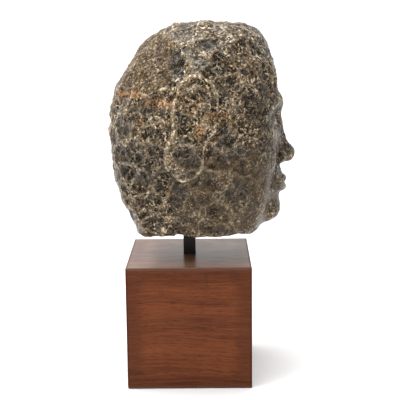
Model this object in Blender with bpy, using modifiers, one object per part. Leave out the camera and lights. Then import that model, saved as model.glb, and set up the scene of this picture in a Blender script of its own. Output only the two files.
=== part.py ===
"""A weathered stone head of a luohan, held over a walnut block by a square steel bar.

Metres, +Z up. The head looks along +X. The origin is the middle of the block's underside,
on the bar's axis.
"""

from typing import NamedTuple

import bmesh
import bpy
import numpy as np

# Driving sizes of the block, the bar and the stone.
BLOCK_SIDE = 0.127
BLOCK_HEIGHT = 0.127
BLOCK_EDGE = 0.0012
BAR_SIDE = 0.0127
BAR_EDGE = 0.0006
BAR_SHOWING = 0.0285
BAR_IN_BLOCK = 0.045
BAR_IN_HEAD = 0.060
CLEARANCE = 0.0003
HEAD_HEIGHT = 0.214
HEAD_DEPTH = 0.192
HEAD_WIDTH = 0.166
HEAD_TRIANGLES = 8400

# The stone is carved in shares of its own height: x forward of the bar's axis, y out to
# either side, and z up from the cut below the jaw.


class Form(NamedTuple):
    """A rounded mass. A power of 2 is an ellipsoid, and more is squarer."""

    middle: tuple
    half: tuple
    power: float = 2.0
    turn: tuple = ("z", 0)
    blend: float = 0.05


class Bead(NamedTuple):
    """A round bead or groove along a line."""

    line: np.ndarray
    radii: np.ndarray
    blend: float


class Oval(NamedTuple):
    """A flat shape in the plane of the ear."""

    middle: tuple
    half: tuple
    power: float = 2.2


VAULT = Form((0.022, 0, 0.502), (0.412, 0.372, 0.488), 2.06)
FOREHEAD = Form((0.128, 0, 0.560), (0.324, 0.335, 0.468), 2.7, blend=0.04)
NAPE = Form((0.010, 0, 0.325), (0.382, 0.300, 0.440), 3.0)
FACE = Form((0.125, 0, 0.360), (0.322, 0.278, 0.400), 2.3)
JAW = Form((0.170, 0.130, 0.200), (0.190, 0.125, 0.160), 2.2, ("z", 14), 0.08)
THROAT = Form((0.165, 0, 0.060), (0.190, 0.220, 0.110), 2.3, blend=0.05)
CHEEK = Form((0.312, 0.165, 0.375), (0.105, 0.085, 0.105), 2.0, ("z", 24), 0.06)
MUZZLE = Form((0.362, 0, 0.232), (0.112, 0.126, 0.092), 2.2, blend=0.055)
CHIN = Form((0.398, 0, 0.098), (0.064, 0.086, 0.062), 2.2, blend=0.050)

CROWN_HEIGHT = 1.000
CROWN_FALL = 0.012
CROWN_DOME = 0.32
CROWN_BLEND = 0.050
NAPE_SLOPE = np.array((-0.819, 0.0, -0.574))
NAPE_REACH = 0.176
NAPE_BLEND = 0.050
UPPER_BACK_SLOPE = np.array((-0.841, 0.0, 0.541))
UPPER_BACK_REACH = 0.682
UPPER_BACK_BLEND = 0.050
CUT_BLEND = 0.022

EYE_TURN = 17
EYE_SOCKET = Form((0.456, 0.128, 0.545), (0.054, 0.090, 0.044), 2.0, ("z", EYE_TURN), 0.050)
EYEBALL = Form((0.366, 0.142, 0.516), (0.056, 0.088, 0.060), 2.0, ("z", EYE_TURN), 0.004)
EYE_HALF_WIDTH = 0.074
LID_THICKNESS = 0.010
LID_BLEND = 0.014

NOSE_FLANK = Form((0.432, 0.030, 0.395), (0.040, 0.034, 0.080), 2.0, ("y", -16), 0.030)
NOSE_TIP = Form((0.492, 0, 0.368), (0.048, 0.044, 0.043), blend=0.020)
NOSE_WING = Form((0.456, 0.053, 0.354), (0.045, 0.030, 0.035), 2.0, ("z", 16), 0.014)
NOSTRIL = Form((0.478, 0.026, 0.320), (0.025, 0.013, 0.011), 2.0, ("z", 22), 0.010)
MOUTH_HALF_WIDTH = 0.100
MOUTH_HEIGHT = 0.2245

EAR_MIDDLE = (0.030, 0.545)
EAR_LEAN = np.radians(-6)
EAR_THICKNESS = 0.020
EAR_SHELL = Oval((0.008, 0.055), (0.116, 0.185))
EAR_LOBE = Oval((-0.022, -0.155), (0.098, 0.118), 2.4)
EAR_BOWL = Oval((-0.008, 0.000), (0.050, 0.095))
EAR_FORK = Oval((0.032, 0.130), (0.040, 0.030), 2.0)
EAR_FLAP = Oval((0.066, -0.010), (0.018, 0.040), 2.0)
EAR_EDGE_WIDTH = 0.022
RIM_HEIGHT = 0.010
RIM_INSET = 0.020
RIM_WIDTH = 0.013
GROOVE_INSET = 0.046
BOWL_DEPTH = 0.016
FORK_DEPTH = 0.008
FLAP_HEIGHT = 0.008

WEAR_DEPTH = 0.0030
LINE_OF_SIGHT_MIDDLE = np.array((0.06, 0.0, 0.48))
OUTSIDE = 0.95


def soft_union(a, b, blend):
    share = np.clip(0.5 + 0.5 * (b - a) / blend, 0.0, 1.0)
    return b + (a - b) * share - blend * share * (1 - share)


def soft_cut(a, b, blend):
    """a with b taken out of it."""
    return -soft_union(-a, b, blend)


def soft_common(a, b, blend):
    """What lies in both a and b."""
    return -soft_union(-a, -b, blend)


def turned(turn):
    """The 3x3 rotation about an axis, by degrees."""
    axis, degrees = turn
    cos, sin = np.cos(np.radians(degrees)), np.sin(np.radians(degrees))
    i, j = {"x": (1, 2), "y": (2, 0), "z": (0, 1)}[axis]
    matrix = np.eye(3)
    matrix[i, i] = matrix[j, j] = cos
    matrix[i, j], matrix[j, i] = -sin, sin
    return matrix


def distance_to(points, form, swell=0.0):
    """How far each point is outside the form, less than zero inside it."""
    half = np.array(form.half) + swell
    local = (points - np.array(form.middle)) @ turned(form.turn)
    share = np.abs(local / half) + 1e-9
    size = (share**form.power).sum(1) ** (1 / form.power)
    slope = share ** (form.power - 1) / half * (size ** (1 - form.power))[:, None]
    return (size - 1) / np.sqrt((slope**2).sum(1))


def distance_to_bead(points, bead):
    nearest = np.full(len(points), np.inf)
    for start, end, first, last in zip(bead.line, bead.line[1:], bead.radii, bead.radii[1:]):
        along = end - start
        t = np.clip(((points - start) @ along) / (along @ along), 0, 1)
        gap = np.linalg.norm(points - start - t[:, None] * along, axis=1)
        nearest = np.minimum(nearest, gap - first - (last - first) * t)
    return nearest


def add(points, surface, form):
    return soft_union(surface, distance_to(points, form), form.blend)


def carve(points, surface, form):
    return soft_cut(surface, distance_to(points, form), form.blend)


def add_bead(points, surface, bead):
    return soft_union(surface, distance_to_bead(points, bead), bead.blend)


def carve_groove(points, surface, bead):
    return soft_cut(surface, distance_to_bead(points, bead), bead.blend)


def bare_skull(points):
    surface = distance_to(points, VAULT)
    for form in (FOREHEAD, NAPE, FACE, JAW, THROAT, CHEEK):
        surface = add(points, surface, form)
    x, y, z = points.T
    crown = z - CROWN_HEIGHT + CROWN_FALL * x + CROWN_DOME * y**2
    surface = soft_common(surface, crown, CROWN_BLEND)
    upper_back = points @ UPPER_BACK_SLOPE - UPPER_BACK_REACH
    surface = soft_common(surface, upper_back, UPPER_BACK_BLEND)
    return soft_common(surface, points @ NAPE_SLOPE - NAPE_REACH, NAPE_BLEND)


def filled_face(points):
    """The skull with the masses round the mouth and the chin."""
    return add(points, add(points, bare_skull(points), MUZZLE), CHIN)


def laid_on(field, y, z, lift):
    """The line that the front shows at y, z, laid on a field's surface and lifted off it."""
    x = np.full(len(y), OUTSIDE)
    for _ in range(60):
        x -= field(np.stack([x, y, z], 1)) * 0.8
    return np.stack([x + lift, y, z], 1)


def brow_bead():
    t = np.linspace(0, 1, 12)
    height = 0.588 + 0.060 * np.sin(np.pi * (0.06 + 0.80 * t)) - 0.052 * t**2
    line = laid_on(bare_skull, 0.030 + 0.235 * t, height, -0.010)
    return Bead(line, 0.027 * (1 - t**3) + 0.002, 0.026)


def over_the_eye(y, z):
    """Points of the closed lids, y across and z up from the middle of the eyeball."""
    half = np.array(EYEBALL.half) + LID_THICKNESS
    x = half[0] * np.sqrt(np.clip(1 - (y / half[1]) ** 2 - (z / half[2]) ** 2, 0.02, 1))
    return np.stack([x, y, z], 1) @ turned(EYEBALL.turn).T + np.array(EYEBALL.middle)


def lid_crease():
    """The fold above the upper lid."""
    t = np.linspace(-1, 1, 13)
    line = over_the_eye(EYE_HALF_WIDTH * t, 0.031 + 0.013 * (1 - t**2))
    return Bead(line, 0.0045 - 0.004 * t**2, 0.008)


def eye_opening():
    """The gap between the lids of a half-closed eye."""
    t = np.linspace(-1, 1, 13)
    line = over_the_eye(EYE_HALF_WIDTH * t, -0.008 - 0.004 * t**2)
    return Bead(line, 0.0035 + 0.0100 * (1 - t**2), 0.004)


def nose_bridge():
    line = np.array([(0.412, 0, 0.610), (0.430, 0, 0.548), (0.474, 0, 0.420), (0.492, 0, 0.372)])
    return Bead(line, np.array([0.036, 0.028, 0.030, 0.038]), 0.045)


def lip_groove():
    """The groove from the nose down to the upper lip."""
    line = np.array([(0.494, 0, 0.312), (0.497, 0, 0.264)])
    return Bead(line, np.array([0.007, 0.012]), 0.016)


def upper_lip():
    t = np.linspace(0, 1, 12)
    bow = 0.003 * np.sin(np.pi * np.clip(2.2 * t, 0, 1))
    height = MOUTH_HEIGHT + 0.017 + bow - 0.010 * t**1.5
    line = laid_on(filled_face, MOUTH_HALF_WIDTH * t, height, -0.004)
    return Bead(line, 0.018 * (1 - t**2.4) + 0.002, 0.010)


def lower_lip():
    t = np.linspace(0, 1, 12)
    height = MOUTH_HEIGHT - 0.0185 + 0.016 * t**2
    line = laid_on(filled_face, 0.92 * MOUTH_HALF_WIDTH * t, height, -0.004)
    return Bead(line, 0.0215 * (1 - t**2.2) + 0.002, 0.012)


def mouth_line():
    t = np.linspace(0, 1, 12)
    height = MOUTH_HEIGHT - 0.003 * (1 - t) + 0.008 * t**3
    line = laid_on(filled_face, 1.04 * MOUTH_HALF_WIDTH * t, height, 0.012)
    return Bead(line, 0.0085 - 0.0045 * t, 0.008)


def cheek_fold():
    """The soft fold from the nose down past the mouth's corner."""
    t = np.linspace(0, 1, 12)
    line = laid_on(filled_face, 0.098 + 0.046 * t**0.9, 0.330 - 0.110 * t, 0.006)
    return Bead(line, 0.0045 - 0.002 * t, 0.026)


BROW = brow_bead()
LID_CREASE = lid_crease()
EYE_OPENING = eye_opening()
NOSE_BRIDGE = nose_bridge()
LIP_GROOVE = lip_groove()
UPPER_LIP = upper_lip()
LOWER_LIP = lower_lip()
MOUTH_LINE = mouth_line()
CHEEK_FOLD = cheek_fold()


def eyes(points, surface):
    """Lids over the balls, parted enough to show a little of each."""
    surface = carve(points, surface, EYE_SOCKET)
    surface = soft_union(surface, distance_to(points, EYEBALL, LID_THICKNESS), LID_BLEND)
    surface = carve_groove(points, surface, LID_CREASE)
    surface = carve_groove(points, surface, EYE_OPENING)
    return add(points, surface, EYEBALL)


def nose(points, surface):
    surface = add_bead(points, surface, NOSE_BRIDGE)
    for form in (NOSE_FLANK, NOSE_TIP, NOSE_WING):
        surface = add(points, surface, form)
    return carve(points, surface, NOSTRIL)


def mouth(points, surface):
    surface = carve_groove(points, surface, LIP_GROOVE)
    surface = add_bead(points, surface, UPPER_LIP)
    surface = add_bead(points, surface, LOWER_LIP)
    surface = carve_groove(points, surface, MOUTH_LINE)
    return carve_groove(points, surface, CHEEK_FOLD)


def ridge(value, width):
    return np.exp(-((value / width) ** 2))


def ramp(value, width):
    """0 below, 1 above, rising smoothly over a width about zero."""
    t = np.clip(value / width + 0.5, 0, 1)
    return t * t * (3 - 2 * t)


def outside(u, v, oval):
    """How far a point of the ear's plane is outside an oval."""
    across = np.abs((u - oval.middle[0]) / oval.half[0]) ** oval.power
    along = np.abs((v - oval.middle[1]) / oval.half[1]) ** oval.power
    return ((across + along) ** (1 / oval.power) - 1) * min(oval.half)


def ear_relief(x, z):
    """How far the long-lobed ear stands off the side of the head."""
    cos, sin = np.cos(EAR_LEAN), np.sin(EAR_LEAN)
    u = (x - EAR_MIDDLE[0]) * cos + (z - EAR_MIDDLE[1]) * sin
    v = (z - EAR_MIDDLE[1]) * cos - (x - EAR_MIDDLE[0]) * sin
    outline = soft_union(outside(u, v, EAR_SHELL), outside(u, v, EAR_LOBE), 0.05)
    root = ramp(u - 0.075, 0.10)
    open_rim = 1 - ramp(u - 0.055, 0.06) * ramp(0.02 - v, 0.08)
    above_lobe = ramp(v + 0.05, 0.08)
    height = EAR_THICKNESS * (1 - 0.5 * root) * (1 - ramp(outline + 0.008, EAR_EDGE_WIDTH))
    rim = ridge(outline + RIM_INSET, RIM_WIDTH) * (0.4 + 0.6 * above_lobe)
    groove = ridge(outline + GROOVE_INSET, RIM_WIDTH) * above_lobe
    height += RIM_HEIGHT * (rim - groove) * open_rim
    height -= BOWL_DEPTH * (1 - ramp(outside(u, v, EAR_BOWL), 0.034))
    height -= FORK_DEPTH * (1 - ramp(outside(u, v, EAR_FORK), 0.030))
    height += FLAP_HEIGHT * (1 - ramp(outside(u, v, EAR_FLAP), 0.030))
    return height


def ears(points, surface):
    side = ramp(points[:, 1] - 0.20, 0.08)
    return surface - ear_relief(points[:, 0], points[:, 2]) * side


def wear(points):
    """Broad hollows and swellings, left by the tools and by weather."""
    x, y, z = points.T
    waves = np.sin(9 * x + 4 * y + 1.3) * np.sin(11 * z - 5 * y + 0.4)
    waves += 0.6 * np.sin(19 * x - 8 * z + 2.1) * np.sin(17 * y + 13 * z + 0.9)
    waves += 0.4 * np.sin(31 * z + 12 * x) * np.sin(27 * x - 21 * y + 1.7)
    return WEAR_DEPTH * waves


def carved_head(points):
    """How far each point is outside the finished stone."""
    either_side = points * np.array((1, 0, 1)) + np.abs(points) * np.array((0, 1, 0))
    surface = filled_face(either_side)
    surface = add_bead(either_side, surface, BROW)
    surface = eyes(either_side, surface)
    surface = nose(either_side, surface)
    surface = mouth(either_side, surface)
    surface = ears(either_side, surface)
    return soft_common(surface + wear(points), -points[:, 2], CUT_BLEND)


def surface_along(directions):
    """Where lines coming in towards the head's middle first meet the stone."""
    reach = np.full(len(directions), OUTSIDE)
    moving = np.arange(len(directions))
    for _ in range(70):
        points = LINE_OF_SIGHT_MIDDLE + directions[moving] * reach[moving, None]
        gap = carved_head(points)
        reach[moving] -= np.clip(gap * 0.8, -0.02, 0.2)
        moving = moving[np.abs(gap) > 2e-4]
        if not len(moving):
            break
    return LINE_OF_SIGHT_MIDDLE + directions * reach[:, None]


def material(name, colour, roughness, metallic):
    made = bpy.data.materials.new(name)
    made.use_nodes = True
    shader = made.node_tree.nodes["Principled BSDF"]
    shader.inputs["Base Color"].default_value = (*colour, 1)
    shader.inputs["Roughness"].default_value = roughness
    shader.inputs["Metallic"].default_value = metallic
    return made


def mesh_of(shape, name):
    mesh = bpy.data.meshes.new(name)
    shape.to_mesh(mesh)
    shape.free()
    return mesh


def new_object(name, mesh, collection):
    made = bpy.data.objects.new(name, mesh)
    collection.objects.link(made)
    return made


def square_post(name, side, bottom, top, collection):
    """A square box about the bar's axis, between two heights."""
    shape = bmesh.new()
    bmesh.ops.create_cube(shape, size=1.0)
    bmesh.ops.scale(shape, vec=(side, side, top - bottom), verts=shape.verts)
    made = new_object(name, mesh_of(shape, name), collection)
    made.location.z = (bottom + top) / 2
    return made


def ease_edges(target, width):
    bevel = target.modifiers.new("eased_edges", "BEVEL")
    bevel.width = width
    bevel.segments = 3
    bevel.limit_method = "ANGLE"


def cut_socket(target, name, bottom, top, collection):
    """A square hole for the bar, a clearance wider than it on each side."""
    cutter = square_post(name, BAR_SIDE + 2 * CLEARANCE, bottom, top, collection)
    cutter.hide_render = True
    cutter.display_type = "WIRE"
    cut = target.modifiers.new("bar_socket", "BOOLEAN")
    cut.operation = "DIFFERENCE"
    cut.solver = "EXACT"
    cut.object = cutter


def plinth_block(parts, cutters):
    block = square_post("plinth_block", BLOCK_SIDE, 0.0, BLOCK_HEIGHT, parts)
    ease_edges(block, BLOCK_EDGE)
    bottom = BLOCK_HEIGHT - BAR_IN_BLOCK - CLEARANCE
    cut_socket(block, "block_socket", bottom, BLOCK_HEIGHT + BAR_SIDE, cutters)
    block.data.materials.append(material("walnut", (0.162, 0.051, 0.024), 0.28, 0.0))


def mounting_bar(parts):
    top = BLOCK_HEIGHT + BAR_SHOWING + BAR_IN_HEAD
    bar = square_post("mounting_bar", BAR_SIDE, BLOCK_HEIGHT - BAR_IN_BLOCK, top, parts)
    ease_edges(bar, BAR_EDGE)
    bar.data.materials.append(material("blackened_steel", (0.012, 0.011, 0.012), 0.45, 0.6))


def stone_head(parts, cutters):
    shape = bmesh.new()
    bmesh.ops.create_icosphere(shape, subdivisions=7, radius=1.0)
    mesh = mesh_of(shape, "stone_head")
    directions = np.empty(len(mesh.vertices) * 3, np.float32)
    mesh.vertices.foreach_get("co", directions)
    directions = directions.reshape(-1, 3).astype(float)
    directions /= np.linalg.norm(directions, axis=1)[:, None]
    points = surface_along(directions)
    points[:, 2] -= points[:, 2].min()
    points *= np.array((HEAD_DEPTH, HEAD_WIDTH, HEAD_HEIGHT)) / np.ptp(points, axis=0)
    mesh.vertices.foreach_set("co", points.astype(np.float32).ravel())
    mesh.shade_smooth()
    head = new_object("stone_head", mesh, parts)
    underside = BLOCK_HEIGHT + BAR_SHOWING
    head.location.z = underside
    fewer_faces = head.modifiers.new("fewer_faces", "DECIMATE")
    fewer_faces.ratio = HEAD_TRIANGLES / len(mesh.polygons)
    top = underside + BAR_IN_HEAD + CLEARANCE
    cut_socket(head, "head_socket", underside - BAR_SIDE, top, cutters)
    mesh.materials.append(material("dark_stone", (0.150, 0.120, 0.090), 0.75, 0.0))


def new_collection(name):
    made = bpy.data.collections.new(name)
    bpy.context.scene.collection.children.link(made)
    return made


for leftover in list(bpy.data.objects):
    bpy.data.objects.remove(leftover)
pieces = new_collection("luohan_head")
socket_cutters = new_collection("socket_cutters")
plinth_block(pieces, socket_cutters)
mounting_bar(pieces)
stone_head(pieces, socket_cutters)
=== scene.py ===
from math import cos, radians, sin
from typing import NamedTuple

import bmesh
import bpy
import numpy as np
from mathutils import Matrix, Vector


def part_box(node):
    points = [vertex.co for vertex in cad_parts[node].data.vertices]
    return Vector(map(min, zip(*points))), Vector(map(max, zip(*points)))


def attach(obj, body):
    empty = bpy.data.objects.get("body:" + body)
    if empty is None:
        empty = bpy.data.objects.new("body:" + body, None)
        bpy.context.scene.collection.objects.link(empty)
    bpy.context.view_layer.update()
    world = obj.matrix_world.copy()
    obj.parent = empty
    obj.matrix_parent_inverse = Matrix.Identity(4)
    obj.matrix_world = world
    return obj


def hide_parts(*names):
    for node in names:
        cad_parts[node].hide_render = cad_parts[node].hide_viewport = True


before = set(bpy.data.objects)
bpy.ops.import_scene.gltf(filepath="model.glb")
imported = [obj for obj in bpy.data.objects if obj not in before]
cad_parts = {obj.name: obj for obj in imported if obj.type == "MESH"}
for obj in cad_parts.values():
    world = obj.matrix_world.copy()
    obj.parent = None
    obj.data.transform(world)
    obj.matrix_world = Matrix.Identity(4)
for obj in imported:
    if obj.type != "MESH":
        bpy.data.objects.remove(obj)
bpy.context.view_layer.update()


# The walnut block: one solid cube of red-brown walnut with its grain running from side to
# side, its edges eased by hand, sealed under a thin clear lacquer that is glossier on top.


class Mottle(NamedTuple):
    """Noise, stretched if its scale has three numbers, and the ends of the mask it makes."""

    scale: float | tuple
    detail: float
    rough: float
    seed: float
    low: float = 0.0
    high: float = 1.0


class Tint(NamedTuple):
    """A colour, and how far it covers what lies below it."""

    colour: tuple
    share: float


class Wire:
    """One output of a node tree. Sums with it add Math nodes, and node() adds any other."""

    def __init__(self, tree, output=None):
        self.tree = tree
        self.output = output

    def node(self, kind, settings=None, inputs=None, output=0):
        made = self.tree.nodes.new(kind)
        for name, value in (settings or {}).items():
            setattr(made, name, value)
        for name, value in (inputs or {}).items():
            if isinstance(value, Wire):
                self.tree.links.new(value.output, made.inputs[name])
            else:
                made.inputs[name].default_value = value
        return Wire(self.tree, made.outputs[output]) if made.outputs else made

    def math(self, operation, *values):
        return self.node("ShaderNodeMath", {"operation": operation}, dict(enumerate(values)))

    def vector(self, operation, inputs, output=0):
        return self.node("ShaderNodeVectorMath", {"operation": operation}, inputs, output)

    def __add__(self, other):
        return self.math("ADD", self, other)

    def __radd__(self, other):
        return self.math("ADD", other, self)

    def __sub__(self, other):
        return self.math("SUBTRACT", self, other)

    def __rsub__(self, other):
        return self.math("SUBTRACT", other, self)

    def __mul__(self, other):
        return self.math("MULTIPLY", self, other)

    def __rmul__(self, other):
        return self.math("MULTIPLY", other, self)

    def __rtruediv__(self, other):
        return self.math("DIVIDE", other, self)

    def greater(self, other):
        """The greater of this and another."""
        return self.math("MAXIMUM", self, other)

    def between(self, low, high):
        """0 at low and below, 1 at high and above, smooth between them."""
        settings = {"interpolation_type": "SMOOTHSTEP"}
        return self.node("ShaderNodeMapRange", settings, {"Value": self, 1: low, 2: high})

    def mixed(self, first, second):
        """The first colour where this is 0, the second where it is 1."""
        inputs = {0: self, 6: first, 7: second}
        return self.node("ShaderNodeMix", {"data_type": "RGBA"}, inputs, output=2)

    def tinted(self, colour, tint):
        """The colour, with a tint over it where this is 1."""
        return (self * tint.share).mixed(colour, tint.colour)

    def axis(self, number):
        """The x, y or z of these coordinates, by its number."""
        return self.node("ShaderNodeSeparateXYZ", {}, {0: self}, number)

    def stretched(self, x, y, z):
        """These coordinates, each multiplied by a number."""
        return self.vector("MULTIPLY", {0: self, 1: (x, y, z)})

    def noise(self, mottle, output=0):
        """A mottle's noise on these coordinates, as a number, or with output 1 as a colour."""
        place, scale = self, mottle.scale
        if isinstance(scale, tuple):
            place, scale = self.stretched(*scale), 1.0
        inputs = {
            "Vector": place,
            "W": mottle.seed,
            "Scale": scale,
            "Detail": mottle.detail,
            "Roughness": mottle.rough,
        }
        return self.node("ShaderNodeTexNoise", {"noise_dimensions": "4D"}, inputs, output)

    def mask(self, mottle):
        """0 where a mottle's noise is low, 1 where it is high."""
        return self.noise(mottle).between(mottle.low, mottle.high)

    def pushed(self, mottle, amount):
        """These coordinates pushed about by a mottle's noise, as far as an amount allows."""
        off = self.vector("SUBTRACT", {0: self.noise(mottle, output=1), 1: (0.5, 0.5, 0.5)})
        step = self.vector("SCALE", {0: off, "Scale": amount})
        return self.vector("ADD", {0: self, 1: step})

    def cells(self, scale, measure="F1"):
        """Scattered cells: how far the nearest middle is, or with DISTANCE_TO_EDGE the edge."""
        inputs = {"Vector": self, "Scale": scale}
        return self.node("ShaderNodeTexVoronoi", {"feature": measure}, inputs)

    def bump(self, distance, strength):
        """The normal of a surface that has this as its height."""
        inputs = {"Height": self, "Distance": distance, "Strength": strength}
        return self.node("ShaderNodeBump", {}, inputs)


def new_material(name, **values):
    """A Principled material, with these plain values and a wire at Object coordinates."""
    made = bpy.data.materials.new(name)
    made.use_nodes = True
    shader = made.node_tree.nodes["Principled BSDF"]
    for socket, value in values.items():
        shader.inputs[socket.replace("_", " ")].default_value = value
    place = Wire(made.node_tree).node("ShaderNodeTexCoord", output=3)
    return made, place, shader


def feed(shader, **wires):
    """Links wires to the shader's sockets."""
    for socket, wire in wires.items():
        wire.tree.links.new(wire.output, shader.inputs[socket.replace("_", " ")])


def dress(piece, material):
    piece.data.materials.clear()
    piece.data.materials.append(material)


WALNUT_MID = (0.140, 0.0335, 0.0088, 1)
WALNUT_DARK = (0.060, 0.0145, 0.0042, 1)
WALNUT_LIGHT = (0.225, 0.0620, 0.0178, 1)
LIGHT_STREAKS = Tint(WALNUT_LIGHT, 0.62)
LIGHT_FIGURE = Tint(WALNUT_LIGHT, 0.20)
DARK_PORES = Tint((0.025, 0.0070, 0.0025, 1), 0.50)
PAINTED_TOP_LIGHT = Tint((0.350, 0.225, 0.150, 1), 0.48)
PAINTED_EDGE_SHADE = Tint(WALNUT_DARK, 0.65)

TREE_HEART = (0.0, 0.045, -0.130)
RING_RADIUS = 0.19
GRAIN_BENDS = Mottle((9, 14, 14), 1.0, 0.4, 3.0)
GRAIN_WAVE = 0.014
BANDS = Mottle((7, 120, 14), 3.0, 0.6, 1.0, 0.32, 0.68)
STREAKS = Mottle((26, 640, 22), 3.0, 0.65, 5.0, 0.30, 0.72)
PORES = Mottle((150, 760, 900), 2.0, 0.5, 8.0, 0.54, 0.70)
FIGURE = Mottle((38, 10, 12), 1.0, 0.5, 11.0, 0.35, 0.7)
SCUFFS = Mottle((60, 60, 60), 3.0, 0.7, 2.0)
PORE_DEPTH = 0.00005
EDGE_WIDTH = 0.0030
DARK_BAND_WIDTH = 0.024
block_low, block_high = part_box("plinth_block")


def growth_rings(place):
    """Coordinates along the trunk, out through its rings and round them, in metres."""
    off = place.vector("SUBTRACT", {0: place, 1: TREE_HEART})
    radius = place.vector("LENGTH", {0: off.stretched(0, 1, 1)}, 1)
    around = place.math("ARCTAN2", off.axis(1), off.axis(2)) * RING_RADIUS
    return place.node("ShaderNodeCombineXYZ", {}, {0: place.axis(0), 1: radius, 2: around})


def near_face(place, axis, width):
    """1 close to the block's two faces across an axis, 0 from a width away inwards."""
    middle = (block_low[axis] + block_high[axis]) / 2
    half = (block_high[axis] - block_low[axis]) / 2
    out = place.math("ABSOLUTE", place.axis(axis) - middle)
    return out.between(half - width, half - 0.2 * width)


def near_edges(place, width):
    """1 along the block's edges, 0 from a width away across each face."""
    across, deep, high = (near_face(place, axis, width) for axis in range(3))
    return (across + deep + high - 1.0).between(0.0, 1.0)


def walnut():
    """Wood whose rings run through the whole block, so that its faces agree at the edges."""
    made, place, shader = new_material(
        "lacquered_walnut", Coat_Roughness=0.31, Coat_IOR=1.55, Specular_IOR_Level=0.0
    )
    rings = growth_rings(place.pushed(GRAIN_BENDS, GRAIN_WAVE))
    bands = rings.mask(BANDS)
    streaks = rings.mask(STREAKS)
    pores = place.mask(PORES)
    top = near_face(place, 2, EDGE_WIDTH)
    edges = near_edges(place, EDGE_WIDTH)
    # Darker over a wide band along every edge of the block.
    darker_near_edges = near_edges(place, DARK_BAND_WIDTH) * (0.28 + 0.24 * bands)
    colour = (0.10 + 0.90 * bands).mixed(WALNUT_DARK, WALNUT_MID)
    colour = streaks.tinted(colour, LIGHT_STREAKS)
    colour = place.mask(FIGURE).tinted(colour, LIGHT_FIGURE)
    colour = pores.tinted(colour, DARK_PORES)
    # Painted light: the top face, and the hidden bottom face with it, is tinted paler, standing
    # in for soft light reaching the top.
    colour = (top * (0.8 + 0.4 * streaks)).tinted(colour, PAINTED_TOP_LIGHT)
    colour = darker_near_edges.mixed(colour, WALNUT_DARK)
    # Painted shade: a thin dark line along every edge of the block.
    colour = edges.tinted(colour, PAINTED_EDGE_SHADE)
    feed(
        shader,
        Base_Color=colour,
        Roughness=0.42 + 0.12 * place.noise(SCUFFS),
        Normal=(streaks * 0.4 - pores * 0.6).bump(PORE_DEPTH, 0.30),
        Coat_Weight=(0.25 + 0.75 * top) * (0.84 + 0.16 * streaks) * (1.0 - 0.5 * edges),
    )
    return made


dress(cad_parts["plinth_block"], walnut())


# The mounting bar: a short length of half-inch square steel bar, painted or blackened, its
# lower end let into the block and its upper end into the stone.

BAR_BLACK = (0.0060, 0.0055, 0.0065, 1)
RUBBED_PAINT = Tint((0.022, 0.020, 0.020, 1), 0.6)
PAINT_MOTTLE = Mottle(260, 3.0, 0.6, 4.0)
RUB_STREAKS = Mottle((700, 700, 60), 2.0, 0.6, 6.0, 0.55, 0.8)
PAINT_DEPTH = 0.00004


def blackened_steel():
    made, place, shader = new_material("blackened_steel", Specular_IOR_Level=0.45)
    mottle = place.noise(PAINT_MOTTLE)
    colour = place.mask(RUB_STREAKS).tinted(BAR_BLACK, RUBBED_PAINT)
    bump = mottle.bump(PAINT_DEPTH, 0.3)
    feed(shader, Base_Color=colour, Roughness=0.34 + 0.2 * mottle, Normal=bump)
    return made


dress(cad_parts["mounting_bar"], blackened_steel())


# The stone head: one block of dark grey-brown stone, carved with a point and worn by weather,
# cut or broken off flat below the jaw and drilled underneath for the bar. It is modelled in
# shares of its own height: x forward of the bar's axis, y out to a side and z up from the cut.


class Form(NamedTuple):
    """A rounded mass. A power of 2 is an ellipsoid, and more is squarer."""

    middle: tuple
    half: tuple
    power: float = 2.0
    turn: tuple = ("z", 0)
    blend: float = 0.05


class Bead(NamedTuple):
    """A round bead or groove along a line."""

    line: np.ndarray
    radii: np.ndarray
    blend: float


class Oval(NamedTuple):
    """A flat shape seen from the side, on the head or on the ear."""

    middle: tuple
    half: tuple
    power: float = 2.2


VAULT = Form((0.022, 0, 0.502), (0.412, 0.372, 0.488), 2.06)
FOREHEAD = Form((0.128, 0, 0.560), (0.324, 0.335, 0.468), 2.7, blend=0.04)
NAPE = Form((0.010, 0, 0.325), (0.382, 0.300, 0.440), 3.0)
FACE = Form((0.125, 0, 0.360), (0.322, 0.278, 0.400), 2.3)
JAW = Form((0.170, 0.130, 0.200), (0.190, 0.125, 0.160), 2.2, ("z", 14), 0.08)
THROAT = Form((0.165, 0, 0.060), (0.190, 0.220, 0.110), 2.3, blend=0.05)
CHEEK = Form((0.312, 0.165, 0.375), (0.105, 0.085, 0.105), 2.0, ("z", 24), 0.06)
MUZZLE = Form((0.362, 0, 0.232), (0.112, 0.126, 0.092), 2.2, blend=0.055)
CHIN = Form((0.398, 0, 0.098), (0.064, 0.086, 0.062), 2.2, blend=0.050)

CROWN_HEIGHT = 1.000
CROWN_FALL = 0.012
CROWN_DOME = 0.32
CROWN_BLEND = 0.050
NAPE_SLOPE = np.array((-0.819, 0.0, -0.574))
NAPE_REACH = 0.184
NAPE_BLEND = 0.050
UPPER_BACK_SLOPE = np.array((-0.841, 0.0, 0.541))
UPPER_BACK_REACH = 0.690
UPPER_BACK_BLEND = 0.050
CUT_BLEND = 0.022

LINE_POINTS = 12
BROW_HEIGHT = 0.588
BROW_ARCH = 0.060
BROW_FALL = 0.052
BROW_START = 0.030
BROW_LENGTH = 0.235
BROW_SINK = 0.010
BROW_HALF_THICKNESS = 0.027
BROW_BLEND = 0.026

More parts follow.
